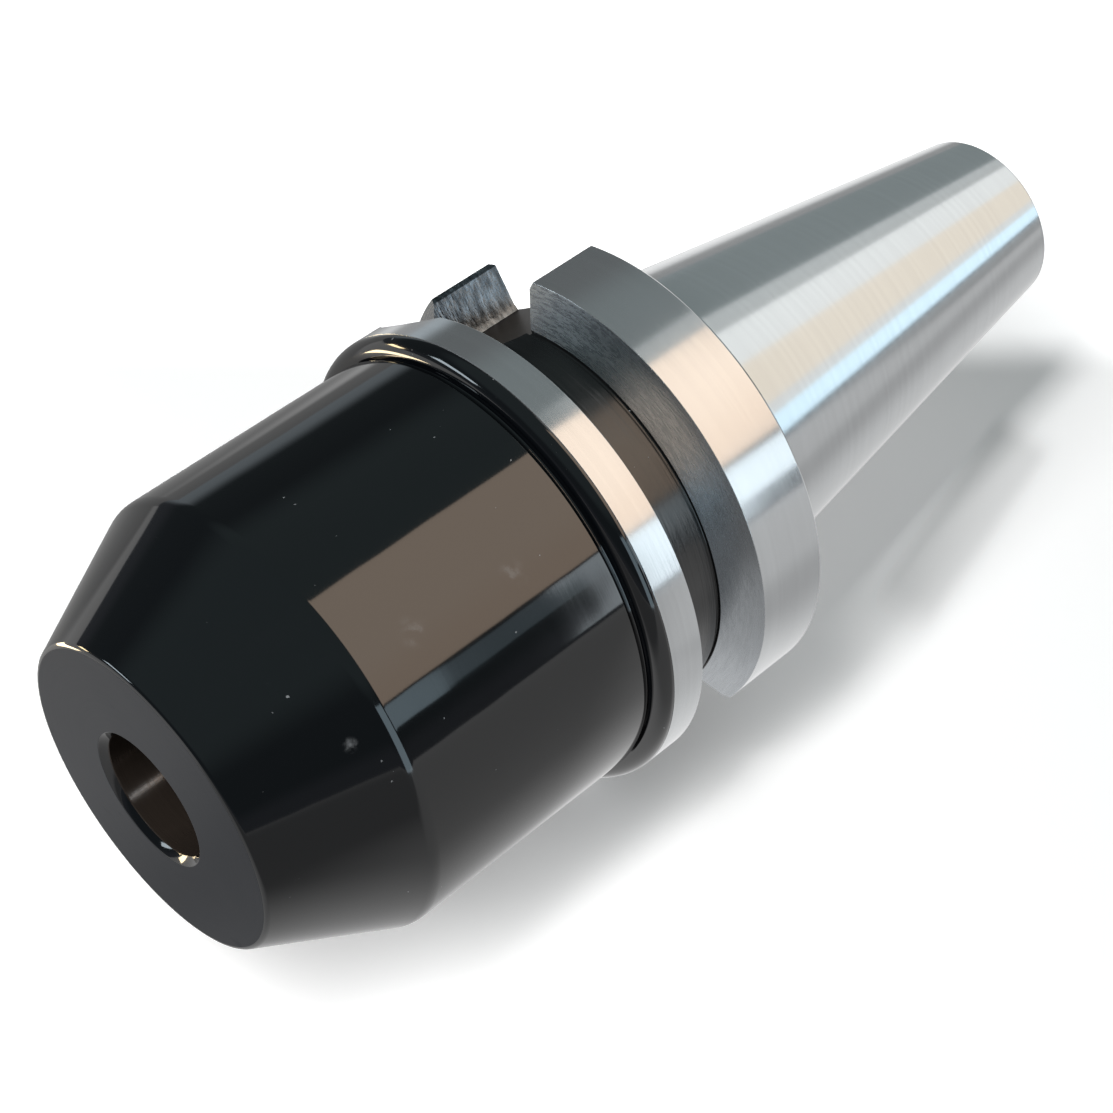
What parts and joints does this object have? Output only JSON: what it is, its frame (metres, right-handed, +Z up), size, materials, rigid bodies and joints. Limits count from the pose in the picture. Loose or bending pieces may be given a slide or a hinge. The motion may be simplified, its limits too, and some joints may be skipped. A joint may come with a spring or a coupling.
{
  "type": "side lock tool holder",
  "caption": "Side lock tool holder: steep taper shank, gripper flange with drive slots, black body with a cone, and a screw that clamps the cutter's shank in the bore.",
  "frame": {"origin": "on the tool axis, at the gauge line of the taper", "axes": "+X along the tool axis from the nose to the small end of the taper, +Z up as the holder lies on its flange"},
  "size_m": [0.1084, 0.046, 0.046],
  "materials": {
    "ground_steel": "ground, with fine marks round the taper",
    "machined_steel": "ground rims, milled slots and a dark turned groove floor",
    "black_oxide": "polished, then blackened; satin on the nose face",
    "black_screw": "blackened alloy steel",
    "seal_rubber": "smooth black rubber"
  },
  "bodies": {
    "holder": {"taper_shank": "ground_steel", "drive_flange": "machined_steel", "tool_body": "black_oxide"},
    "clamp_seal": {"clamp_seal": "seal_rubber"},
    "clamp_screw": {"clamp_screw": "black_screw"},
    "stop_seal": {"stop_seal": "seal_rubber"},
    "stop_screw": {"stop_screw": "black_screw"}
  },
  "joints": [
    {"name": "clamp_screw_travel", "type": "slide", "parent": "holder", "child": "clamp_seal", "axis": [0, -0.7986, 0.6018], "range_m": [-0.004, 0.0024]},
    {"name": "clamp_screw_turn", "type": "hinge", "parent": "clamp_seal", "child": "clamp_screw", "pos_m": [-0.0375, 0, 0], "axis": [0, -0.7986, 0.6018], "range_deg": [-822.96, 493.81]},
    {"name": "stop_screw_travel", "type": "slide", "parent": "holder", "child": "stop_seal", "axis": [1, 0, 0], "range_m": [-0.005, 0.0019]},
    {"name": "stop_screw_turn", "type": "hinge", "parent": "stop_seal", "child": "stop_screw", "pos_m": [0, 0, 0], "axis": [1, 0, 0], "range_deg": [-1200.1, 456.1]}
  ],
  "couplings": [
    {"joint": "clamp_screw_turn", "follows": "clamp_screw_travel", "rad_per_m": 3590.4},
    {"joint": "stop_screw_turn", "follows": "stop_screw_travel", "rad_per_m": 4188.8}
  ]
}
